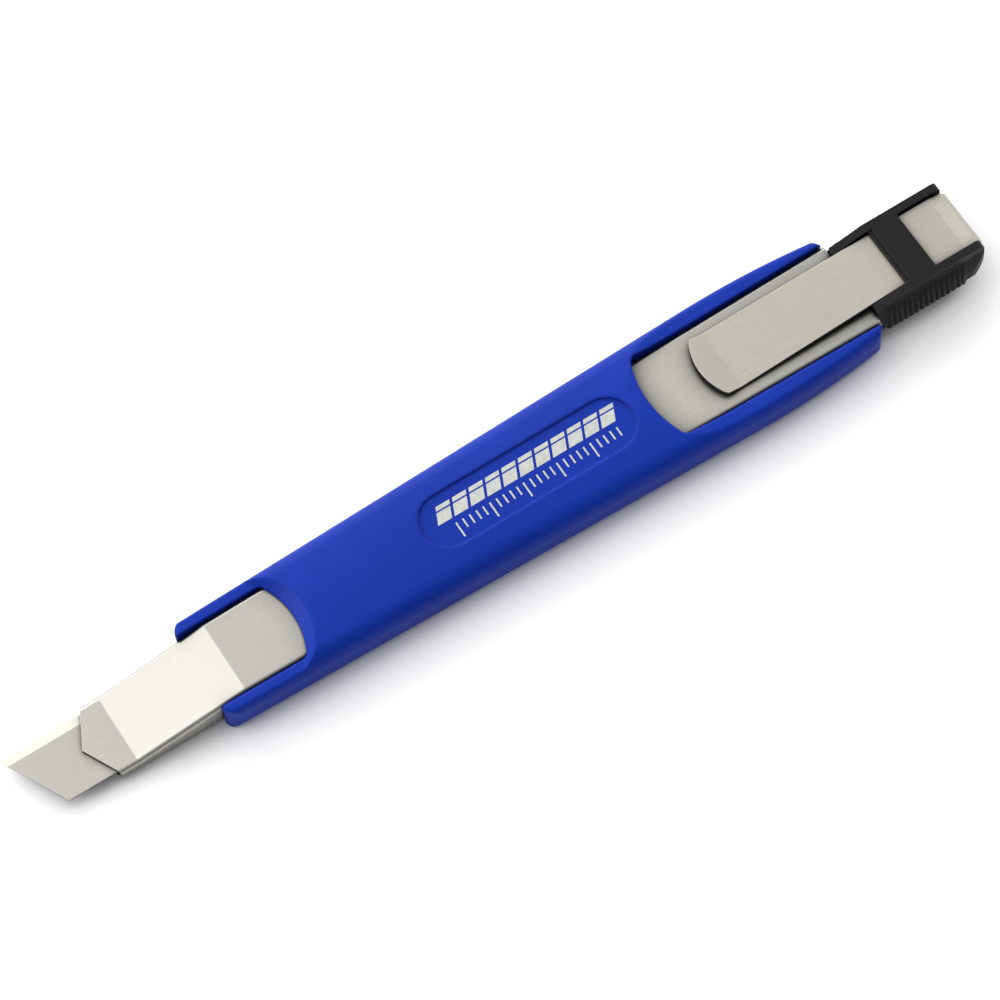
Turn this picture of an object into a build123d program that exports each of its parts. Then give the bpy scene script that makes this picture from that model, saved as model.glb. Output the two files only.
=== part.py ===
from build123d import *
import os

# A slim retractable cutter for 9 mm snap-off blades: a die-cast handle over a folded steel channel, a
# blade carried on a push-to-release thumb slide, and a pull-off end cap with a clip and a snapper plate.
#
# Frame: +X runs from the blade to the tail, +Y to the blade's cutting edge, +Z out of the face that has
# the clip. The origin is the middle of the underside, with the blade two segments out. All in mm.

# ---- Driving dimensions: overall and along X
overall_length = 138.8  # from the blade's point to the end of the snapper plate
blade_point_x = -overall_length / 2
tail_x = overall_length / 2
handle_front_x = -43.5
handle_wide_x = 33.0  # the handle is widest here
handle_rear_x = 52.5
nose_point_x = -60.3
nose_corner_x = -57.7
tip_fold_x = -55.25  # the channel's web folds down flat over the blade here
web_fold_x = -39.85  # and starts to slope down here
front_recess_x = -29.95  # deepest point of the bowed edge of the handle's front opening
rear_recess_x = 21.8  # the same for the rear opening
front_recess_corner_x = -31.45  # and where its two ends are
rear_recess_corner_x = 23.3

# ---- Driving dimensions: half widths along Y
handle_front_half = 7.25
handle_wide_half = 9.1
handle_rear_half = 7.95
channel_nose_half = 5.14
channel_rear_half = 6.6
channel_play = 0.2  # between the channel and the handle's slot, on each side
lip_gap_half = 3.1  # the long opening between the channel's lips

# ---- Driving dimensions: heights along Z
channel_bottom = 0.6
channel_top = 4.95
nose_top = 2.4
handle_top = 6.6  # along the middle of the raised part; it is crowned across
horn_front_top = 5.25
horn_rear_top = 5.4
sheet = 0.4  # thickness of the channel's steel sheet
strip = 0.45  # thickness of the clip's and the snapper plate's

# ---- The blade, a standard 9 mm one
blade_width = 9.0
blade_length = 80.0
blade_thickness = 0.38
blade_slant = 4.6  # how far the slanted ends run back over the blade's width
blade_bevel = 1.15
blade_edge = 0.04  # what is left of the thickness at the cutting edge
blade_segment = 5.0
blade_bottom = 1.57
blade_top = blade_bottom + blade_thickness
score_depth = 0.1
score_width = 0.2
stud_x = 6.5
blade_hole_radius = 1.2
stud_radius = 1.1

# ---- The thumb slide
slide_out = 45.0  # travel towards the nose and towards the tail from where the blade is drawn
slide_back = 15.0
press_travel = 0.6
carrier_front_x = 1.0
carrier_block_x = 12.0
carrier_foot_x = 16.2
carrier_rear_x = 31.3
carrier_half = 4.4
carrier_bottom = 1.12
carrier_plate_top = 3.1
carrier_top = 3.95
carrier_gap = 0.05  # over the blade
carrier_lead_length = 0.8  # the lead-in at its front
carrier_lead_drop = 0.4
carrier_ramp = 1.5
carrier_chamfer = 0.5
button_x = 25.85  # middle of the thumb pad, the lock plate and the spring
button_length = 9.4
button_half = 2.7
pad_bottom = 0.12
pad_rib_top = 0.42
lock_plate_bottom = 0.75
lock_plate_thickness = 0.35
lock_plate_top = lock_plate_bottom + lock_plate_thickness
ear_length = 1.2
ear_half = 3.85
pad_screw_offset = 3.4
spring_roof = 3.4

# ---- The end cap
cap_front_x = 52.6
cap_rear_x = 68.85
cap_top = 7.05
cap_bottom = 0.8
cap_side = [(5.0, 0.8), (5.95, 1.3), (6.3, 2.2), (6.2, 3.4), (5.85, 4.6)]  # half width and height
rail_foot = 5.6  # the sides turn upright here, into the two rails
rail_outer = 5.45
rail_inner = 4.35
bridge_front_x = 58.3
bridge_rear_x = 62.1
bridge_lip = 0.55  # a lower lip along the bridge's front edge
bridge_lip_top = 6.77
cap_bottom_rear_x = 64.2  # the underside sweeps up from here to the tail
cap_taper_x = 65.2  # and the sides draw in from here
rail_front_top = 6.1
rail_step_x = 53.8
rail_step_top = 6.25
rail_full_x = 57.4
rail_end_radius = 0.8
cap_tail_bottom = 3.3
cap_taper_half = 6.4
cap_tail_half = 5.5
bed_front = 5.7  # height of the bed for the strip at the cap's front and just before the bridge
bed_middle = 5.92
tongue_front_x = 47.1
tongue_half = 5.6
tongue_middle = 2.65
tongue_height = 2.9
tongue_corner = 0.3
rib_pitch = 0.8
rib_count = 15
rib_first_x = 54.2
rib_bottom = 1.0
rib_height = 4.1
rib_steps = [(0.56, 0.18), (0.3, 0.36)]  # width and rise of a rib's foot and of its crest
clip_half_front = 4.45
clip_half_rear = 4.1
clip_root_x = 58.65  # the clip bends about this line, just under the bridge
clip_tip_x = 29.45
clip_bend_x = 32.8
clip_tip_bow = 1.1  # how far the tip's bowed edge runs back at its two ends
clip_tip_chamfer = 0.4
clip_root_top = 6.45
clip_bend_top = 5.45
clip_tip_top = 6.16
clip_bend_radius = 1.5
clip_root_gap = 0.1  # between the clip and the snapper plate
snapper_half = 4.15
snapper_top = 6.5
snapper_fold_x = 66.8
snapper_end = [(-0.75, -0.5), (0, -1.15), (-0.32, -1.5), (-0.95, -0.95)]  # from the tail and the top

# ---- Smaller features
front_corner_radius = 2.0
rear_corner_radius = 2.4
front_horn_rim = 0.4
rear_horn_rim = 0.6
crown_radius = 45.0
shoulder_radius = 2.4
bottom_rim_radius = 1.6
front_opening_bow = 10.3  # radius of the front opening's bowed edge
bevel_run = 1.7  # width of the bevel behind the front opening, measured in the middle
bevel_bow = 13.6  # radius of its upper edge
bevel_top = 6.7  # height of that edge, just clear of the crown
opening_corner_radius = 1.1
ramp_start_x = 17.0  # the raised part ramps down to the rear horns between these two
ramp_end_x = 31.0
ramp_start_top = 6.75
panel_x = 4.1
panel_length = 30.8
panel_half = 3.8
panel_depth = 0.42
screw_places = [(-24.0, 0.0), (14.0, 0.0)]
screw_radius = 0.9
screw_head_radius = 1.25
screw_slot = 0.25
screw_bite = 1.05
screw_tip_gap = 0.2
screw_hole_gap = 0.1
channel_corner = 0.6
notch_length = 1.7
notch_depth = 1.0
stud_head_radius = 1.8
stud_head_height = 0.5
stud_below = 0.25  # how far the stud stands out under the blade
stud_chamfer = 0.2
spring_radius = 1.5
spring_wire = 0.15
spring_turns = 4
spring_end_gap = 0.01
spring_well_gap = 0.35
pad_screw_radius = 0.4
pad_screw_depth = 0.45
pad_screw_head = 0.4
pad_screw_round = 0.15
pad_corner = 0.8
pad_rib_pitch = 1.1
pad_rib_width = 0.6
pad_rib_half = 2.4
pad_rib_count = 8
lock_plate_corner = 0.5
ear_corner = 0.2
button_gap = 0.25  # round the button in its pocket
button_overtravel = 0.15  # left above it when it is pressed
slit_start_x = 64.6
slit_start_bottom = 5.4
slit_end_bottom = 4.4
rivet_x = 60.4
rivet_spacing = 4.2
rivet_radius = 0.6
rivet_bottom = 4.8
detent_strip = 0.16
detent_height = 1.6
detent_root_gap = 0.12  # between the tongue and the middle of the detent's strip
detent_crown_gap = 0.06  # between its bowed arms and the channel
detent_end_gap = 0.7
fit_gap = 0.02  # round a pin or a screw in its hole
pin_end_gap = 0.05  # left at the bottom of a blind hole
strip_gap = 0.03  # over and under the steel strip in the cap
overrun = 1.0  # how far a cutting shape runs past what it cuts


def blade_prism(bottom, height):
    """The blade's outline, slanted at both ends, as a prism."""
    half = blade_width / 2
    with BuildPart() as prism:
        with BuildSketch(Plane.XY.offset(bottom)):
            with BuildLine():
                Polyline(
                    (blade_point_x, half),
                    (blade_point_x + blade_slant, -half),
                    (blade_point_x + blade_slant + blade_length, -half),
                    (blade_point_x + blade_length, half),
                    close=True,
                )
            make_face()
        extrude(amount=height)
    return prism.part


def channel_half(x):
    """Half width of the channel, which widens evenly from its nose to its tail."""
    share = (x - nose_corner_x) / (handle_rear_x - nose_corner_x)
    return channel_nose_half + share * (channel_rear_half - channel_nose_half)


def channel_form(inset, beyond, corner):
    """The channel's outer form, or with an inset of one sheet the hollow inside it."""
    front = nose_point_x - beyond
    rear = handle_rear_x + beyond
    with BuildPart() as plan:
        with BuildSketch():
            with BuildLine():
                Polyline(
                    (front, 0),
                    (nose_corner_x - beyond, channel_half(nose_corner_x - beyond) - inset),
                    (rear, channel_half(rear) - inset),
                    (rear, 0),
                )
                mirror(about=Plane.XZ)
            make_face()
        extrude(amount=channel_top + overrun)
    with BuildPart() as side:
        with BuildSketch(Plane.XZ):
            with BuildLine():
                Polyline(
                    (front, channel_bottom + inset),
                    (front, nose_top - inset),
                    (tip_fold_x, nose_top - inset),
                    (web_fold_x, channel_top - inset),
                    (rear, channel_top - inset),
                    (rear, channel_bottom + inset),
                    close=True,
                )
            make_face()
        extrude(amount=handle_wide_half, both=True)
    form = plan.part & side.part
    if corner:
        long_edges = [
            edge
            for edge in form.edges()
            if abs(edge.tangent_at(0.5).X) > 0.8 and abs(edge.center().Y) > lip_gap_half
        ]
        form = form.fillet(corner, long_edges)
    return form


def handle_plan(front_corner, rear_corner):
    """The handle's outline from above: straight tapering sides that draw in again at the tail."""
    with BuildSketch() as outline:
        with BuildLine():
            Line((handle_front_x, 0), (handle_front_x, handle_front_half))
            side = Line((handle_front_x, handle_front_half), (handle_wide_x, handle_wide_half))
            TangentArc(side @ 1, (handle_rear_x, handle_rear_half), tangent=side % 1)
            Line((handle_rear_x, handle_rear_half), (handle_rear_x, 0))
            mirror(about=Plane.XZ)
        make_face()
        if front_corner:
            corners = outline.vertices().group_by(Axis.X)
            fillet(corners[0], radius=front_corner)
            fillet(outline.vertices().group_by(Axis.X)[-1], radius=rear_corner)
    return outline.sketch


def bowed_region(height, edge_x, bow, half):
    """A flat region forward of a bowed edge: edge_x is where the edge crosses the middle."""
    end_x = edge_x - bow + (bow**2 - half**2) ** 0.5
    with BuildSketch(Plane.XY.offset(height)) as region:
        with BuildLine():
            ThreePointArc((end_x, -half), (edge_x, 0), (end_x, half))
            Polyline(
                (end_x, half),
                (handle_front_x - overrun, half),
                (handle_front_x - overrun, -half),
                (end_x, -half),
            )
        make_face()
    return region.sketch


def opening(edge_x, corner_x, open_x):
    """Outline of an opening: a bowed edge between rounded corners, then along the slot and out."""
    corner_half = channel_half(corner_x) + channel_play
    open_half = channel_half(open_x) + channel_play
    with BuildSketch() as outline:
        with BuildLine():
            ThreePointArc((corner_x, -corner_half), (edge_x, 0), (corner_x, corner_half))
            Polyline(
                (corner_x, corner_half),
                (open_x, open_half),
                (open_x, -open_half),
                (corner_x, -corner_half),
            )
        make_face()
        corners = [v for v in outline.vertices() if abs(v.X - corner_x) < 0.1]
        fillet(corners, radius=opening_corner_radius)
    return outline.sketch


def rim_edges(solid, level):
    """The edges that lie level at one height along the outside of the handle."""
    edges = []
    for edge in solid.edges():
        middle = edge.center()
        lies_level = abs(middle.Z - level) < 0.01 and edge.bounding_box().size.Z < 0.01
        past_end = middle.X < handle_front_x + overrun or middle.X > handle_rear_x - overrun
        if lies_level and (past_end or abs(middle.Y) > channel_nose_half):
            edges.append(edge)
    return edges


# ---- Handle: a tapering die-cast shell, open underneath. Its middle is raised and crowned; in front of
# and behind that it is cut down to two pairs of horns beside the channel
with BuildPart() as handle_body:
    add(handle_plan(0, 0))
    extrude(amount=handle_top + overrun)
    with BuildSketch(Plane.YZ.offset(handle_front_x - overrun)):
        with Locations((0, handle_top - crown_radius)):
            Circle(crown_radius)
    extrude(amount=handle_rear_x - handle_front_x + 2 * overrun, mode=Mode.INTERSECT)
    # soften the long edges, then round the four corners of the plan
    long_edges = [edge for edge in handle_body.edges() if abs(edge.center().Y) > handle_front_half]
    fillet([edge for edge in long_edges if edge.center().Z > channel_top], radius=shoulder_radius)
    long_edges = [edge for edge in handle_body.edges() if abs(edge.center().Y) > handle_front_half]
    fillet([edge for edge in long_edges if edge.center().Z < 0.1], radius=bottom_rim_radius)
    with BuildSketch():
        add(handle_plan(front_corner_radius, rear_corner_radius))
    extrude(amount=handle_top + overrun, mode=Mode.INTERSECT)
    # cut the front horns down, with a bevel up to the raised part that is wider at its two ends
    cut_half = handle_front_half + overrun
    add(bowed_region(horn_front_top, front_recess_x, front_opening_bow, cut_half))
    add(bowed_region(bevel_top, front_recess_x + bevel_run, bevel_bow, cut_half))
    loft(ruled=True, mode=Mode.SUBTRACT)
    # ramp down to the rear horns
    with BuildSketch(Plane.XZ):
        with BuildLine():
            ramp_start = (ramp_start_x, ramp_start_top)
            ramp_end = (ramp_end_x, horn_rear_top)
            Spline(ramp_start, ramp_end, tangents=[(1, 0), (1, 0)])
            Polyline(
                ramp_end,
                (handle_rear_x + overrun, horn_rear_top),
                (handle_rear_x + overrun, handle_top + overrun),
                (ramp_start_x, handle_top + overrun),
                ramp_start,
            )
        make_face()
    extrude(amount=handle_wide_half + overrun, both=True, mode=Mode.SUBTRACT)
    # soften the horns' outer rims
    fillet(rim_edges(handle_body, horn_front_top), radius=front_horn_rim)
    fillet(rim_edges(handle_body, horn_rear_top), radius=rear_horn_rim)
    # slot for the channel, open underneath and at both ends
    slot_ends = (handle_front_x - overrun, handle_rear_x + overrun)
    with BuildSketch(Plane.XY.offset(-overrun)):
        with BuildLine():
            Polyline(
                (slot_ends[0], 0),
                (slot_ends[0], channel_half(slot_ends[0]) + channel_play),
                (slot_ends[1], channel_half(slot_ends[1]) + channel_play),
                (slot_ends[1], 0),
            )
            mirror(about=Plane.XZ)
        make_face()
    extrude(amount=channel_top + overrun, mode=Mode.SUBTRACT)
    # the two openings over the channel
    add(opening(front_recess_x, front_recess_corner_x, handle_front_x - overrun))
    extrude(amount=handle_top + overrun, mode=Mode.SUBTRACT)
    add(opening(rear_recess_x, rear_recess_corner_x, handle_rear_x + overrun))
    extrude(amount=handle_top + overrun, mode=Mode.SUBTRACT)
    # shallow panel on the top face
    with BuildSketch(Plane.XY.offset(handle_top - panel_depth)):
        with Locations((panel_x, 0)):
            SlotOverall(panel_length, 2 * panel_half)
    extrude(amount=overrun, mode=Mode.SUBTRACT)
    # blind tapped holes for the two screws that hold the channel
    with BuildSketch(Plane.XY.offset(channel_top)):
        with Locations(*screw_places):
            Circle(screw_radius + fit_gap)
    extrude(amount=screw_bite, mode=Mode.SUBTRACT)
handle_body.part.label = "handle_body"
export_step(handle_body.part, "parts/handle_body.step")

# ---- Blade channel: one folded steel sheet, its lips notched every blade segment for the lock
with BuildPart() as blade_channel:
    add(channel_form(0, 0, channel_corner))
    add(channel_form(sheet, overrun, 0), mode=Mode.SUBTRACT)
    # the long opening between the lips
    with BuildSketch():
        with Locations(((nose_point_x + handle_rear_x) / 2, 0)):
            Rectangle(handle_rear_x - nose_point_x + 2 * overrun, 2 * lip_gap_half)
    extrude(amount=channel_bottom + 2 * sheet, mode=Mode.SUBTRACT)
    # lock notches
    notch_count = round((slide_out + slide_back) / blade_segment) + 1
    with BuildSketch():
        with Locations((button_x + (slide_back - slide_out) / 2, 0)):
            with GridLocations(blade_segment, 2 * lip_gap_half, notch_count, 2):
                Rectangle(notch_length, 2 * notch_depth)
    extrude(amount=channel_bottom + 2 * sheet, mode=Mode.SUBTRACT)
    # countersunk holes for the channel screws
    with Locations(*[Plane((x, y, channel_top - sheet), z_dir=(0, 0, -1)) for x, y in screw_places]):
        CounterSinkHole(screw_radius + screw_hole_gap, screw_head_radius + screw_hole_gap, depth=overrun)
blade_channel.part.label = "blade_channel"
export_step(blade_channel.part, "parts/blade_channel.step")

# ---- Channel screws: two short countersunk screws, put in from inside the channel
with BuildPart() as channel_screws:
    for x, y in screw_places:
        with BuildSketch(Plane.XY.offset(channel_top - sheet)):
            with Locations((x, y)):
                Circle(screw_head_radius)
        with BuildSketch(Plane.XY.offset(channel_top - sheet + screw_head_radius - screw_radius)):
            with Locations((x, y)):
                Circle(screw_radius)
        loft()
        with BuildSketch(Plane.XY.offset(channel_top - sheet + screw_head_radius - screw_radius)):
            with Locations((x, y)):
                Circle(screw_radius)
        extrude(amount=screw_bite - screw_tip_gap)
        with BuildSketch(Plane.XY.offset(channel_top - sheet)):
            with Locations((x, y)):
                Rectangle(2 * screw_head_radius, screw_slot)
        extrude(amount=screw_slot, mode=Mode.SUBTRACT)
channel_screws.part.label = "channel_screws"
export_step(channel_screws.part, "parts/channel_screws.step")

# ---- Snap-off blade: ground along its cutting edge, scored underneath at every segment
with BuildPart() as snap_blade:
    half = blade_width / 2
    middle = blade_thickness / 2
    with BuildSketch(Plane.YZ.offset(blade_point_x - overrun)):
        with BuildLine():
            Polyline(
                (-half, blade_bottom),
                (half - blade_bevel, blade_bottom),
                (half, blade_bottom + middle - blade_edge / 2),
                (half, blade_bottom + middle + blade_edge / 2),
                (half - blade_bevel, blade_top),
                (-half, blade_top),
                close=True,
            )
        make_face()
    extrude(amount=blade_length + blade_slant + 2 * overrun)
    add(blade_prism(blade_bottom - overrun, 2 * overrun + blade_thickness), mode=Mode.INTERSECT)
    # score lines, parallel to the slanted ends and cut a little past both edges
    slant = Vector(blade_slant, -blade_width, 0)
    score_count = int(blade_length / blade_segment) - 2
    for number in range(1, score_count):
        start = Vector(blade_point_x + number * blade_segment, half, blade_bottom) - slant * 0.1
        with BuildSketch(Plane(start, x_dir=slant.cross(Vector(0, 0, 1)), z_dir=slant)):
            with BuildLine():
                Polyline(
                    (-score_width / 2, 0),
                    (0, score_depth),
                    (score_width / 2, 0),
                    (0, -score_depth),
                    close=True,
                )
            make_face()
        extrude(amount=slant.length * 1.2, mode=Mode.SUBTRACT)
    with BuildSketch():
        with Locations((stud_x, 0)):
            Circle(blade_hole_radius)
    extrude(amount=blade_top + overrun, mode=Mode.SUBTRACT)
snap_blade.part.label = "snap_blade"
export_step(snap_blade.part, "parts/snap_blade.step")

# ---- Slide carrier: a moulded block that runs in the channel, above the blade and behind it
with BuildPart() as slide_carrier:
    with BuildSketch(Plane.XZ):
        with BuildLine():
            Polyline(
                (carrier_front_x, blade_top + carrier_gap),
                (carrier_front_x, carrier_plate_top - carrier_lead_drop),
                (carrier_front_x + carrier_lead_length, carrier_plate_top),
                (carrier_block_x - carrier_ramp, carrier_plate_top),
                (carrier_block_x, carrier_top),
                (carrier_rear_x, carrier_top),
                (carrier_rear_x, carrier_bottom),
                (carrier_foot_x, carrier_bottom),
                (carrier_foot_x, blade_top + carrier_gap),
                close=True,
            )
        make_face()
    extrude(amount=carrier_half, both=True)
    chamfer(slide_carrier.edges().filter_by(Axis.Z), length=carrier_chamfer)
    # pocket for the button from below, and the well for its spring
    pocket_depth = lock_plate_top + pad_screw_head + press_travel + button_overtravel
    with BuildSketch():
        with Locations((button_x, 0)):
            Rectangle(button_length + 2 * button_gap, 2 * (button_half + button_gap))
            Rectangle(ear_length + 2 * button_gap, 2 * (ear_half + button_gap))
    extrude(amount=pocket_depth, mode=Mode.SUBTRACT)
    with BuildSketch():
        with Locations((button_x, 0)):
            Circle(spring_radius + spring_well_gap)
    extrude(amount=spring_roof, mode=Mode.SUBTRACT)
    # counterbored hole for the stud
    with Locations((stud_x, 0, carrier_plate_top)):
        CounterBoreHole(stud_radius, stud_head_radius, stud_head_height, depth=carrier_plate_top)
slide_carrier.part.label = "slide_carrier"
export_step(slide_carrier.part, "parts/slide_carrier.step")

# ---- Blade stud: the headed pin that goes down through the blade's hole
with BuildPart() as blade_stud:
    with BuildSketch(Plane.XY.offset(blade_bottom - stud_below)):
        with Locations((stud_x, 0)):
            Circle(stud_radius)
    extrude(amount=carrier_plate_top - blade_bottom + stud_below)
    chamfer(blade_stud.edges().sort_by(Axis.Z)[0], length=stud_chamfer)
    with BuildSketch(Plane.XY.offset(carrier_plate_top - stud_head_height)):
        with Locations((stud_x, 0)):
            Circle(stud_head_radius)
    extrude(amount=stud_head_height)
blade_stud.part.label = "blade_stud"
export_step(blade_stud.part, "parts/blade_stud.step")

# ---- Lock plate: stamped plate whose two ears sit in the channel's notches until the button is pressed
with BuildPart() as lock_plate:
    with BuildSketch(Plane.XY.offset(lock_plate_bottom)):
        with Locations((button_x, 0)):
            RectangleRounded(button_length, 2 * button_half, lock_plate_corner)
            RectangleRounded(ear_length, 2 * ear_half, ear_corner)
            with GridLocations(2 * pad_screw_offset, 0, 2, 1):
                Circle(pad_screw_radius + fit_gap, mode=Mode.SUBTRACT)
    extrude(amount=lock_plate_thickness)
lock_plate.part.label = "lock_plate"
export_step(lock_plate.part, "parts/lock_plate.step")

# ---- Thumb pad: the ribbed face of the button, level with the handle's two rails
with BuildPart() as thumb_pad:
    with BuildSketch(Plane.XY.offset(pad_rib_top)):
        with Locations((button_x, 0)):
            RectangleRounded(button_length, 2 * button_half, pad_corner)
    extrude(amount=lock_plate_bottom - pad_rib_top)
    with BuildSketch(Plane.XY.offset(pad_bottom)):
        with Locations((button_x, 0)):
            with GridLocations(pad_rib_pitch, 0, pad_rib_count, 1):
                RectangleRounded(pad_rib_width, 2 * pad_rib_half, ear_corner)
    extrude(amount=pad_rib_top - pad_bottom)
    with BuildSketch(Plane.XY.offset(lock_plate_bottom - pad_screw_depth)):
        with Locations((button_x, 0)):
            with GridLocations(2 * pad_screw_offset, 0, 2, 1):
                Circle(pad_screw_radius + fit_gap)
    extrude(amount=pad_screw_depth, mode=Mode.SUBTRACT)
thumb_pad.part.label = "thumb_pad"
export_step(thumb_pad.part, "parts/thumb_pad.step")

# ---- Pad screws: two tiny pan-head screws through the lock plate into the pad
with BuildPart() as pad_screws:
    with BuildSketch(Plane.XY.offset(lock_plate_bottom - pad_screw_depth + pin_end_gap)):
        with Locations((button_x, 0)):
            with GridLocations(2 * pad_screw_offset, 0, 2, 1):
                Circle(pad_screw_radius)
    extrude(amount=lock_plate_thickness + pad_screw_depth - pin_end_gap)
    with BuildSketch(Plane.XY.offset(lock_plate_top)):
        with Locations((button_x, 0)):
            with GridLocations(2 * pad_screw_offset, 0, 2, 1):
                Circle(2 * pad_screw_radius)
    extrude(amount=pad_screw_head)
    fillet(pad_screws.edges().group_by(Axis.Z)[-1], radius=pad_screw_round)
pad_screws.part.label = "pad_screws"
export_step(pad_screws.part, "parts/pad_screws.step")

# ---- Button spring: a short coil that pushes the button down
with BuildPart() as button_spring:
    coil_height = spring_roof - lock_plate_top - 2 * (spring_wire + spring_end_gap)
    coil_start = Plane((button_x, 0, lock_plate_top + spring_wire + spring_end_gap))
    with BuildLine(coil_start) as coil:
        Helix(pitch=coil_height / spring_turns, height=coil_height, radius=spring_radius - spring_wire)
    with BuildSketch(Plane(coil.line @ 0, z_dir=coil.line % 0)):
        Circle(spring_wire)
    sweep(path=coil.line, is_frenet=True)
button_spring.part.label = "button_spring"
export_step(button_spring.part, "parts/button_spring.step")


def cap_section(grow):
    """The cap's section across X, half of it: upright rails on top, sides that belly out below."""
    Polyline(
        (0, cap_bottom),
        *[(half_width + grow, height) for half_width, height in cap_side],
        (rail_outer, rail_foot),
        (rail_outer, cap_top),
        (0, cap_top),
    )
    mirror(about=Plane.YZ)


# ---- End cap: a moulded plug with gripping ribs, two rails and a bridge over the steel strip
with BuildPart() as cap_side_form:
    with BuildSketch(Plane.XZ):
        with BuildLine():
            Polyline(
                (cap_bottom_rear_x, cap_bottom),
                (cap_front_x, cap_bottom),
                (cap_front_x, rail_front_top),
                (rail_step_x, rail_step_top),
                (rail_full_x, cap_top),
                (cap_rear_x - rail_end_radius, cap_top),
            )
            JernArc((cap_rear_x - rail_end_radius, cap_top), (1, 0), rail_end_radius, -90)
            Line((cap_rear_x, cap_top - rail_end_radius), (cap_rear_x, cap_tail_bottom))
            TangentArc(
                (cap_bottom_rear_x, cap_bottom),
                (cap_rear_x, cap_tail_bottom),
                tangent=(1, 0),
            )
        make_face()
    extrude(amount=handle_wide_half, both=True)

with BuildPart() as cap_ribs:
    for rib_width, rib_rise in rib_steps:
        with BuildPart() as full_width:
            with BuildSketch(Plane.YZ.offset(cap_front_x)):
                with BuildLine():
                    cap_section(rib_rise)
                make_face()
            extrude(amount=cap_rear_x - cap_front_x)
            with BuildSketch(Plane.XY.offset(rib_bottom)):
                with Locations((rib_first_x + (rib_count - 1) * rib_pitch / 2, 0)):
                    with GridLocations(rib_pitch, 0, rib_count, 1):
                        Rectangle(rib_width, 2 * handle_wide_half)
            extrude(amount=rib_height, mode=Mode.INTERSECT)

with BuildPart() as end_cap:
    with BuildSketch(Plane.YZ.offset(cap_front_x)):
        with BuildLine():
            cap_section(0)
        make_face()
    extrude(amount=cap_rear_x - cap_front_x)
    add(cap_ribs.part)
    add(cap_side_form.part, mode=Mode.INTERSECT)
    # draw the sides in towards the tail
    with BuildSketch():
        with BuildLine():
            Line((cap_front_x, 0), (cap_front_x, handle_wide_half))
            Line((cap_front_x, handle_wide_half), (cap_taper_x, handle_wide_half))
            Line((cap_taper_x, handle_wide_half), (cap_taper_x, cap_taper_half))
            TangentArc((cap_taper_x, cap_taper_half), (cap_rear_x, cap_tail_half), tangent=(1, 0))
            Line((cap_rear_x, cap_tail_half), (cap_rear_x, 0))
            mirror(about=Plane.XZ)
        make_face()
    extrude(amount=cap_top + overrun, mode=Mode.INTERSECT)
    # the bed for the steel strip between the rails, which dips in front under the clip
    with BuildSketch(Plane.XZ):
        with BuildLine():
            Polyline(
                (cap_front_x - overrun, bed_front),
                (bridge_front_x - bridge_lip, bed_middle),
                (cap_rear_x + overrun, snapper_top - strip - strip_gap),
                (cap_rear_x + overrun, cap_top + overrun),
                (bridge_rear_x, cap_top + overrun),
                (bridge_rear_x, snapper_top + strip_gap),
                (bridge_front_x - bridge_lip, snapper_top + strip_gap),
                (bridge_front_x - bridge_lip, bridge_lip_top),
                (bridge_front_x, bridge_lip_top),
                (bridge_front_x, cap_top + overrun),
                (cap_front_x - overrun, cap_top + overrun),
                close=True,
            )
        make_face()
    extrude(amount=rail_inner, both=True, mode=Mode.SUBTRACT)
    # slit under the snapper plate, open at the tail, that takes the segment being snapped off
    with BuildSketch(Plane.XZ):
        with BuildLine():
            Polyline(
                (slit_start_x, slit_start_bottom),
                (cap_rear_x + overrun, slit_end_bottom),
                (cap_rear_x + overrun, snapper_top),
                (slit_start_x, snapper_top),
                close=True,
            )
        make_face()
    extrude(amount=rail_inner, both=True, mode=Mode.SUBTRACT)
    # tongue that plugs into the channel's wide end
    with BuildSketch(Plane.YZ.offset(tongue_front_x)):
        with Locations((0, tongue_middle)):
            RectangleRounded(2 * tongue_half, tongue_height, tongue_corner)
    extrude(amount=cap_front_x - tongue_front_x)
    # blind holes for the rivets that hold the snapper plate
    with BuildSketch(Plane.XY.offset(rivet_bottom)):
        with Locations((rivet_x, 0)):
            with GridLocations(0, rivet_spacing, 1, 2):
                Circle(rivet_radius + fit_gap)
    extrude(amount=snapper_top - rivet_bottom, mode=Mode.SUBTRACT)
end_cap.part.label = "end_cap"
export_step(end_cap.part, "parts/end_cap.step")

# ---- Cap detent spring: a bowed U of spring strip round the tongue that grips the channel's sides
with BuildPart() as cap_detent_spring:
    with BuildSketch(Plane.XY.offset(tongue_middle - detent_height / 2)):
        with BuildLine():
            arm_start = (tongue_front_x - fit_gap, tongue_half + detent_root_gap)
            arm_end = (cap_front_x - detent_end_gap, tongue_half + detent_root_gap)
            crown_x = (arm_start[0] + arm_end[0]) / 2
            crown_half = channel_half(crown_x) - sheet - detent_crown_gap - detent_strip / 2
            ThreePointArc(arm_end, (crown_x, crown_half), arm_start)
            Line(arm_start, (tongue_front_x - detent_root_gap, tongue_half))
            Line((tongue_front_x - detent_root_gap, tongue_half), (tongue_front_x - detent_root_gap, 0))
            mirror(about=Plane.XZ)
        trace(line_width=detent_strip)
    extrude(amount=detent_height)
cap_detent_spring.part.label = "cap_detent_spring"
export_step(cap_detent_spring.part, "parts/cap_detent_spring.step")

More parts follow.
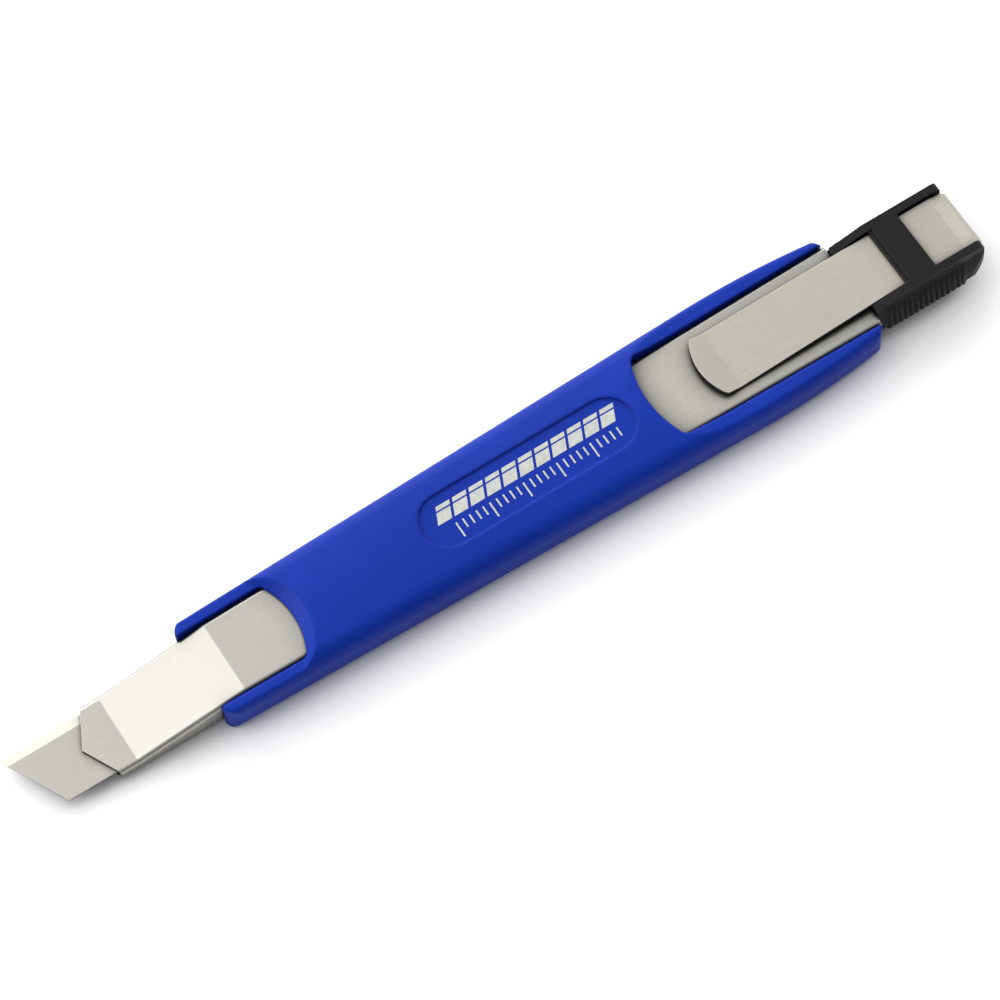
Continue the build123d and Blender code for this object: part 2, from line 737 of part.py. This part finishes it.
# ---- Pocket clip: a long sprung strip whose tip is bowed and turned up
with BuildPart() as pocket_clip:
    with BuildSketch():
        with BuildLine():
            shoulder_x = clip_tip_x + clip_tip_bow
            shoulder_half = clip_half_front - clip_tip_chamfer
            ThreePointArc((shoulder_x, shoulder_half), (clip_tip_x, 0), (shoulder_x, -shoulder_half))
            Polyline(
                (shoulder_x, shoulder_half),
                (shoulder_x + clip_tip_chamfer, clip_half_front),
                (clip_root_x, clip_half_rear),
                (clip_root_x, -clip_half_rear),
                (shoulder_x + clip_tip_chamfer, -clip_half_front),
                (shoulder_x, -shoulder_half),
            )
        make_face()
    extrude(amount=cap_top)
    # the tip's slope carries on past the tip, where the plan cuts it off
    tip_rise = overrun * (clip_tip_top - clip_bend_top) / (clip_bend_x - clip_tip_x)
    with BuildSketch(Plane.XZ):
        with BuildLine():
            Polyline(
                (clip_tip_x - overrun, clip_tip_top + tip_rise),
                (clip_bend_x, clip_bend_top),
                (clip_root_x, clip_root_top),
                (clip_root_x, clip_root_top - strip),
                (clip_bend_x, clip_bend_top - strip),
                (clip_tip_x - overrun, clip_tip_top + tip_rise - strip),
                close=True,
            )
        make_face()
    extrude(amount=clip_half_front + overrun, both=True, mode=Mode.INTERSECT)
    bend = pocket_clip.edges().filter_by(Axis.Y).filter_by_position(Axis.X, clip_bend_x, clip_bend_x)
    fillet(bend, radius=clip_bend_radius)
pocket_clip.part.label = "pocket_clip"
export_step(pocket_clip.part, "parts/pocket_clip.step")

# ---- Snapper plate: the tail end of the steel strip, riveted under the bridge and turned down at its end
with BuildPart() as snapper_plate:
    with BuildSketch(Plane.XZ):
        with BuildLine():
            Polyline(
                (clip_root_x + clip_root_gap, snapper_top),
                (snapper_fold_x, snapper_top),
                *[(tail_x + x, snapper_top + z) for x, z in snapper_end],
                (snapper_fold_x, snapper_top - strip),
                (clip_root_x + clip_root_gap, snapper_top - strip),
                close=True,
            )
        make_face()
    extrude(amount=snapper_half, both=True)
    with BuildSketch():
        with Locations((rivet_x, 0)):
            with GridLocations(0, rivet_spacing, 1, 2):
                Circle(rivet_radius + fit_gap)
    extrude(amount=cap_top, mode=Mode.SUBTRACT)
snapper_plate.part.label = "snapper_plate"
export_step(snapper_plate.part, "parts/snapper_plate.step")

# ---- Plate rivets: two pins flush with the plate, hidden under the bridge
with BuildPart() as plate_rivets:
    with BuildSketch(Plane.XY.offset(rivet_bottom + pin_end_gap)):
        with Locations((rivet_x, 0)):
            with GridLocations(0, rivet_spacing, 1, 2):
                Circle(rivet_radius)
    extrude(amount=snapper_top - rivet_bottom - pin_end_gap)
plate_rivets.part.label = "plate_rivets"
export_step(plate_rivets.part, "parts/plate_rivets.step")
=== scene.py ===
import math

import bmesh
import bpy
from mathutils import Matrix, Vector


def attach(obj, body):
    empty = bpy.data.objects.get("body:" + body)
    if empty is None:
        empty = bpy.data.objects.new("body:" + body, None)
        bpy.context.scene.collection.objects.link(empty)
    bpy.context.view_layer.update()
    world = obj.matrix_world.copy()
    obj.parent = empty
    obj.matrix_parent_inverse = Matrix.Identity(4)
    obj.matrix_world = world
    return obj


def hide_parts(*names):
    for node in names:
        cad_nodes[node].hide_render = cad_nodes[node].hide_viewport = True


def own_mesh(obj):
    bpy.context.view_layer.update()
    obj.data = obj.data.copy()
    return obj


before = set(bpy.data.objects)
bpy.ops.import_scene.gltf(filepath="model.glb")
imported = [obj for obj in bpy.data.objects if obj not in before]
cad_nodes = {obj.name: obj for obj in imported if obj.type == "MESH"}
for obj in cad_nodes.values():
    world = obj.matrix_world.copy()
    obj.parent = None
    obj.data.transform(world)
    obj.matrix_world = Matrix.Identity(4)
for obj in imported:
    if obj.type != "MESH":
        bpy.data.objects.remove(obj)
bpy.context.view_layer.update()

MM = 0.001

# The camera: how far the line of sight leans from straight down, and how the picture is turned
LEAN_TO_NEAR_SIDE = math.radians(22.0)
LEAN_TO_BLADE = math.radians(11.95)
PICTURE_ROLL = math.radians(30.7)
CAMERA_DISTANCE = 541.9 * MM
LENS = 157.0
LOOK_AT = Vector((0.12, 0.49, 1.95)) * MM

# The surroundings: which way is brightest, and the brightness there and square to it
BRIGHT_SIDE = Vector((0.0, 0.78, 0.62))
SKY_HIGH = 1.30
SKY_LOW = 0.30

# The print on the panel, all of it in one thin layer: a row of leaning segments over a row of ticks
PANEL_FLOOR = 6.18 * MM
INK_TOP = PANEL_FLOOR + 0.02 * MM
SEGMENTS = 11
SEGMENT_START = -9.0 * MM
SEGMENT_PITCH = 2.4 * MM
SEGMENT_WIDTH = 2.0 * MM
SEGMENT_LEAN = 0.45
SEGMENT_BODY = (-0.05 * MM, 1.5 * MM)
SEGMENT_EDGE = (1.72 * MM, 2.3 * MM)
EDGE_SHIFT = 0.79 * MM
TICKS = 25
TICK_PITCH = 0.98 * MM
FIRST_TICK = -7.2  # in pitches from the knife's middle
TICK_WIDTH = 0.22 * MM
TICK_TOP = -0.85 * MM
SHORT_TICK = 1.3 * MM
LONG_TICK = 2.2 * MM
LONG_TICK_EVERY = 5

# The button's spring in its well, whose roof it is squeezed against
BUTTON_X = 25.85 * MM
SPRING_RADIUS = 1.35 * MM
SPRING_WIRE = 0.15 * MM
SPRING_LOW = 1.26 * MM
SPRING_HIGH = 3.24 * MM
SPRING_TURNS = 4


def add_camera():
    """A long lens above the knife, with the picture turned so that the tail points up to the right."""
    towards_camera = Vector((
        -math.sin(LEAN_TO_BLADE) * math.cos(LEAN_TO_NEAR_SIDE),
        -math.sin(LEAN_TO_NEAR_SIDE),
        math.cos(LEAN_TO_BLADE) * math.cos(LEAN_TO_NEAR_SIDE),
    ))
    level_right = (Vector((1, 0, 0)) - towards_camera * towards_camera.x).normalized()
    level_up = towards_camera.cross(level_right)
    right = math.cos(PICTURE_ROLL) * level_right - math.sin(PICTURE_ROLL) * level_up
    up = math.sin(PICTURE_ROLL) * level_right + math.cos(PICTURE_ROLL) * level_up
    data = bpy.data.cameras.new("camera")
    data.lens = LENS
    data.sensor_width = 36.0
    data.clip_start = 0.01
    data.clip_end = 10.0
    camera = bpy.data.objects.new("camera", data)
    axes = Matrix((right, up, towards_camera)).transposed().to_4x4()
    camera.matrix_world = Matrix.Translation(LOOK_AT + towards_camera * CAMERA_DISTANCE) @ axes
    bpy.context.scene.collection.objects.link(camera)
    bpy.context.scene.camera = camera


def add_light(name, place, size, power):
    """A rectangular soft light that faces the middle of the knife."""
    data = bpy.data.lights.new(name, "AREA")
    data.shape = "RECTANGLE"
    data.size = size[0]
    data.size_y = size[1]
    data.energy = power
    light = bpy.data.objects.new(name, data)
    light.location = place
    light.rotation_euler = (-Vector(place)).to_track_quat("-Z", "Y").to_euler()
    bpy.context.scene.collection.objects.link(light)


def add_world():
    """Pale surroundings: brightest overhead and on the far side, dimmer low down on the near side."""
    world = bpy.data.worlds.new("studio")
    world.use_nodes = True
    tree = world.node_tree
    background = tree.nodes["Background"]
    place = tree.nodes.new("ShaderNodeTexCoord")
    along = tree.nodes.new("ShaderNodeVectorMath")
    along.operation = "DOT_PRODUCT"
    along.inputs[1].default_value = BRIGHT_SIDE
    shade = tree.nodes.new("ShaderNodeValToRGB")
    for element, position, grey in zip(shade.color_ramp.elements, (0.0, 1.0), (SKY_LOW, SKY_HIGH)):
        element.position = position
        element.color = (grey, grey, grey, 1.0)
    tree.links.new(place.outputs["Generated"], along.inputs[0])
    tree.links.new(along.outputs["Value"], shade.inputs["Fac"])
    tree.links.new(shade.outputs["Color"], background.inputs["Color"])
    bpy.context.scene.world = world


class Nodes:
    """Short calls for a material's node tree."""

    def __init__(self, name):
        self.material = bpy.data.materials.new(name)
        self.material.use_nodes = True
        self.tree = self.material.node_tree
        self.shader = self.tree.nodes["Principled BSDF"]

    def add(self, kind, **values):
        node = self.tree.nodes.new(kind)
        for key, value in values.items():
            if key in node.inputs:
                node.inputs[key].default_value = value
            else:
                setattr(node, key, value)
        return node

    def link(self, source, target):
        self.tree.links.new(source, target)

    def place(self, scale):
        """The surface's own place in the model, stretched by a scale for each axis."""
        coordinates = self.add("ShaderNodeTexCoord")
        mapping = self.add("ShaderNodeMapping")
        mapping.inputs["Scale"].default_value = scale
        self.link(coordinates.outputs["Object"], mapping.inputs["Vector"])
        return mapping.outputs["Vector"]

    def noise(self, scale, detail=4.0, roughness=0.55, stretch=(1, 1, 1)):
        texture = self.add("ShaderNodeTexNoise", Scale=scale, Detail=detail, Roughness=roughness)
        self.link(self.place(stretch), texture.inputs["Vector"])
        return texture.outputs["Fac"]

    def ramp(self, factor, low, high, start=0.3, end=0.7):
        """A blend from one colour or grey level to another as the factor goes from start to end."""
        node = self.add("ShaderNodeValToRGB")
        for element, position, value in zip(node.color_ramp.elements, (start, end), (low, high)):
            element.position = position
            element.color = (*value, 1.0) if isinstance(value, tuple) else (value, value, value, 1.0)
        self.link(factor, node.inputs["Fac"])
        return node.outputs["Color"]

    def mix(self, factor, first, second):
        node = self.add("ShaderNodeMix", data_type="RGBA")
        self.link(factor, node.inputs["Factor"])
        self.link(first, node.inputs[6])
        self.link(second, node.inputs[7])
        return node.outputs[2]

    def edges(self, radius, start, end):
        """1 along edges that stand out or in, 0 on flat stretches."""
        bevel = self.add("ShaderNodeBevel", samples=4, Radius=radius)
        geometry = self.add("ShaderNodeNewGeometry")
        dot = self.add("ShaderNodeVectorMath", operation="DOT_PRODUCT")
        self.link(bevel.outputs["Normal"], dot.inputs[0])
        self.link(geometry.outputs["Normal"], dot.inputs[1])
        return self.ramp(dot.outputs["Value"], 1.0, 0.0, start, end)

    def painted_contact_shade(self, reach, close, open_air):
        """Painted shade: a grey that falls off where other surfaces stand within reach, as in a narrow
        gap.
        """
        gap = self.add("ShaderNodeAmbientOcclusion", samples=8, Distance=reach)
        return self.ramp(gap.outputs["AO"], close, open_air, 0.50, 0.99)

    def bump(self, soft, *layers):
        """Stacks (height, strength, distance) layers over edges softened by a radius."""
        normal = self.add("ShaderNodeBevel", samples=6, Radius=soft).outputs["Normal"]
        for height, strength, distance in layers:
            node = self.add("ShaderNodeBump", Strength=strength, Distance=distance)
            self.link(height, node.inputs["Height"])
            self.link(normal, node.inputs["Normal"])
            normal = node.outputs["Normal"]
        self.link(normal, self.shader.inputs["Normal"])

    def set(self, **values):
        for key, value in values.items():
            self.shader.inputs[key.replace("_", " ")].default_value = value


def powder_coat():
    """Royal blue powder coat with a fine orange-peel skin, and a painted highlight along its edges."""
    m = Nodes("powder_coat")
    broad = m.noise(90.0, 3.0)
    fine = m.noise(2600.0, 2.0)
    peel = m.noise(1400.0, 1.5, 0.4)
    body = m.ramp(broad, (0.0022, 0.0240, 0.295), (0.0034, 0.0285, 0.335))
    # Painted highlight: edges are mixed to a lighter blue than the flat coat
    edge = m.edges(0.35 * MM, 0.80, 0.995)
    edge_highlight_blue = m.ramp(fine, (0.009, 0.038, 0.41), (0.006, 0.032, 0.37))
    m.link(m.mix(edge, body, edge_highlight_blue), m.shader.inputs["Base Color"])
    m.link(m.ramp(fine, 0.36, 0.46), m.shader.inputs["Roughness"])
    m.bump(0.55 * MM, (peel, 0.35, 0.03 * MM), (fine, 0.2, 0.01 * MM))
    m.set(Specular_IOR_Level=0.11)
    return m.material


def steel(name, light, dark, smooth, rough, streaks, metallic=1.0):
    """Satin steel: fine rolling lines along one axis, a faint mottle, a painted highlight with rubbed
    wear along edges, and painted shade close to other surfaces.
    """
    m = Nodes(name)
    lines = m.noise(900.0, 5.0, 0.6, streaks)
    cloud = m.noise(60.0, 3.0, 0.5)
    tone = m.mix(cloud, m.ramp(lines, dark, light), m.ramp(lines, light, light))
    # Painted highlight with rubbed wear: edges are mixed to a lighter grey than the flat steel
    edge = m.edges(0.12 * MM, 0.75, 0.99)
    bright = m.ramp(cloud, (0.70, 0.70, 0.69), (0.62, 0.62, 0.60))
    edge_wear_and_highlight = m.mix(edge, tone, bright)
    # Painted shade: the base colour is multiplied by a grey that darkens close to other surfaces, as
    # under the clip's tip
    shaded = m.add("ShaderNodeMix", data_type="RGBA", blend_type="MULTIPLY")
    shaded.inputs["Factor"].default_value = 1.0
    m.link(edge_wear_and_highlight, shaded.inputs[6])
    m.link(m.painted_contact_shade(3.5 * MM, 0.20, 1.0), shaded.inputs[7])
    m.link(shaded.outputs[2], m.shader.inputs["Base Color"])
    m.link(m.ramp(lines, smooth, rough), m.shader.inputs["Roughness"])
    m.bump(0.08 * MM, (lines, 0.02, 0.002 * MM), (cloud, 0.05, 0.02 * MM))
    m.set(Metallic=metallic)
    return m.material


def black_plastic():
    """Black moulded plastic with a spark-eroded grain, and a painted highlight along its edges where they
    would be slightly polished.
    """
    m = Nodes("black_plastic")
    grain = m.noise(2200.0, 3.0, 0.6)
    cloud = m.noise(120.0, 3.0)
    # Painted highlight: the edge mask mixes a lighter grey into the black along edges
    edge = m.edges(0.12 * MM, 0.7, 0.99)
    body = m.ramp(cloud, (0.0035, 0.0035, 0.0035), (0.006, 0.006, 0.006))
    edge_wear_and_highlight = m.ramp(grain, (0.09, 0.09, 0.09), (0.055, 0.055, 0.055))
    m.link(m.mix(edge, body, edge_wear_and_highlight), m.shader.inputs["Base Color"])
    m.link(m.ramp(grain, 0.38, 0.52), m.shader.inputs["Roughness"])
    m.bump(0.12 * MM, (grain, 0.25, 0.012 * MM))
    m.set(Specular_IOR_Level=0.17)
    return m.material


def ink():
    """Off-white pad print, slightly uneven."""
    m = Nodes("print_ink")
    spots = m.noise(1500.0, 3.0)
    m.link(m.ramp(spots, (0.43, 0.44, 0.41), (0.54, 0.55, 0.51)), m.shader.inputs["Base Color"])
    m.link(m.ramp(spots, 0.5, 0.65), m.shader.inputs["Roughness"])
    m.bump(0.01 * MM, (spots, 0.15, 0.005 * MM))
    return m.material


def floor_surface():
    """Matt pale floor with a barely visible unevenness."""
    m = Nodes("floor")
    cloud = m.noise(6.0, 2.0)
    m.link(m.ramp(cloud, (0.96, 0.96, 0.96), (0.98, 0.98, 0.98)), m.shader.inputs["Base Color"])
    m.set(Roughness=0.8, Specular_IOR_Level=0.2)
    return m.material


def paint(name, material):
    """Gives a CAD node its material."""
    node = cad_nodes[name]
    node.data.materials.clear()
    node.data.materials.append(material)


def mesh_piece(name, bm, material, body):
    """Turns a bmesh into a piece that rides on a body."""
    mesh = bpy.data.meshes.new(name)
    bm.normal_update()
    bm.to_mesh(mesh)
    bm.free()
    piece = bpy.data.objects.new(name, mesh)
    bpy.context.scene.collection.objects.link(piece)
    mesh.materials.append(material)
    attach(piece, body)
    return piece


def flat_bar(bm, outline, low, high):
    """Adds a thin prism: a flat outline in the plane of the knife, from one height to another."""
    bottom = [bm.verts.new((x, y, low)) for x, y in outline]
    top = [bm.verts.new((x, y, high)) for x, y in outline]
    bm.faces.new(top)
    bm.faces.new(bottom[::-1])
    for i in range(len(outline)):
        j = (i + 1) % len(outline)
        bm.faces.new((bottom[i], bottom[j], top[j], top[i]))


def leaning_bar(bm, x0, x1, y0, y1, lean, low, high):
    """A bar whose two ends lean like a blade's segments: x moves by lean from the bottom to the top."""
    outline = [(x0, y0), (x1, y0), (x1 + lean * (y1 - y0), y1), (x0 + lean * (y1 - y0), y1)]
    flat_bar(bm, outline, low, high)


def coil(bm, middle, radius, wire, low, high, turns, steps=24, sides=8):
    """Adds a round-wire coil round an upright line, from one height of its middle line to another."""
    rings = []
    for i in range(turns * steps + 1):
        angle = 2 * math.pi * i / steps
        outward = Vector((math.cos(angle), math.sin(angle), 0))
        centre = middle + outward * radius + Vector((0, 0, low + (high - low) * i / (turns * steps)))
        ring = []
        for k in range(sides):
            turn = 2 * math.pi * k / sides
            across = outward * math.cos(turn) + Vector((0, 0, math.sin(turn)))
            ring.append(bm.verts.new(centre + wire * across))
        rings.append(ring)
    for first, second in zip(rings, rings[1:]):
        for k in range(sides):
            bm.faces.new((first[k], first[k - 1], second[k - 1], second[k])).smooth = True
    bm.faces.new(rings[0])
    bm.faces.new(rings[-1])
    bmesh.ops.recalc_face_normals(bm, faces=bm.faces)


add_camera()
add_world()
add_light("overhead", (-0.30, 0.32, 0.90), (0.36, 0.50), 1.0)
add_light("far_top", (0.05, 0.68, 0.73), (0.60, 0.30), 0.68)
add_light("far_side", (0.15, 0.88, 0.42), (1.30, 0.60), 4.7)
add_light("blade_end", (-0.85, 0.35, 0.40), (0.60, 0.40), 4.0)
add_light("tail_end", (0.85, 0.10, 0.45), (0.30, 0.30), 2.0)
bpy.context.scene.view_settings.view_transform = "Standard"

coat = powder_coat()
paint("handle_body", coat)
channel_steel = steel(
    "channel_steel", (0.43, 0.42, 0.385), (0.39, 0.378, 0.345), 0.265, 0.285, (0.25, 8, 0.25), 0.8
)
paint("blade_channel", channel_steel)
blade_steel = steel("blade_steel", (0.445, 0.435, 0.39), (0.39, 0.38, 0.34), 0.18, 0.26, (8, 0.4, 8))
paint("snap_blade", blade_steel)
clip_steel = steel("clip_steel", (0.43, 0.41, 0.365), (0.39, 0.37, 0.33), 0.26, 0.36, (0.25, 8, 8))
paint("pocket_clip", clip_steel)
paint("snapper_plate", clip_steel)
spring_steel = steel("spring_steel", (0.48, 0.48, 0.47), (0.36, 0.36, 0.35), 0.25, 0.4, (1, 1, 1))
for name in ("lock_plate", "button_spring", "cap_detent_spring"):
    paint(name, spring_steel)
fastener_steel = steel("fastener_steel", (0.6, 0.6, 0.6), (0.5, 0.5, 0.5), 0.25, 0.35, (1, 1, 1))
for name in ("channel_screws", "blade_stud", "pad_screws", "plate_rivets"):
    paint(name, fastener_steel)
plastic = black_plastic()
for name in ("end_cap", "slide_carrier", "thumb_pad"):
    paint(name, plastic)

# Print on the handle's panel: a segmented blade above the ticks of a ruler, both plain signs of the trade
print_ink = ink()
bm = bmesh.new()
for number in range(SEGMENTS):
    x = SEGMENT_START + number * SEGMENT_PITCH
    leaning_bar(bm, x, x + SEGMENT_WIDTH, *SEGMENT_BODY, SEGMENT_LEAN, PANEL_FLOOR, INK_TOP)
    x += EDGE_SHIFT
    leaning_bar(bm, x, x + SEGMENT_WIDTH, *SEGMENT_EDGE, SEGMENT_LEAN, PANEL_FLOOR, INK_TOP)
mesh_piece("panel_blade_sign", bm, print_ink, "handle")
bm = bmesh.new()
for number in range(TICKS):
    x = (FIRST_TICK + number) * TICK_PITCH
    length = SHORT_TICK if number % LONG_TICK_EVERY else LONG_TICK
    leaning_bar(bm, x, x + TICK_WIDTH, TICK_TOP - length, TICK_TOP, 0.0, PANEL_FLOOR, INK_TOP)
mesh_piece("panel_ruler_sign", bm, print_ink, "handle")

# The button's spring, which is squeezed against its well's roof when the button is pressed
bm = bmesh.new()
coil(bm, Vector((BUTTON_X, 0, 0)), SPRING_RADIUS, SPRING_WIRE, SPRING_LOW, SPRING_HIGH, SPRING_TURNS)
spring = mesh_piece("button_coil", bm, spring_steel, "blade_slider")
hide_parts("button_spring")
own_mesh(spring)

# Floor
bm = bmesh.new()
bmesh.ops.create_grid(bm, x_segments=1, y_segments=1, size=3.0)
floor_mesh = bpy.data.meshes.new("floor")
bm.to_mesh(floor_mesh)
bm.free()
floor = bpy.data.objects.new("floor", floor_mesh)
floor_mesh.materials.append(floor_surface())
floor.location.z = -0.02 * MM
bpy.context.scene.collection.objects.link(floor)
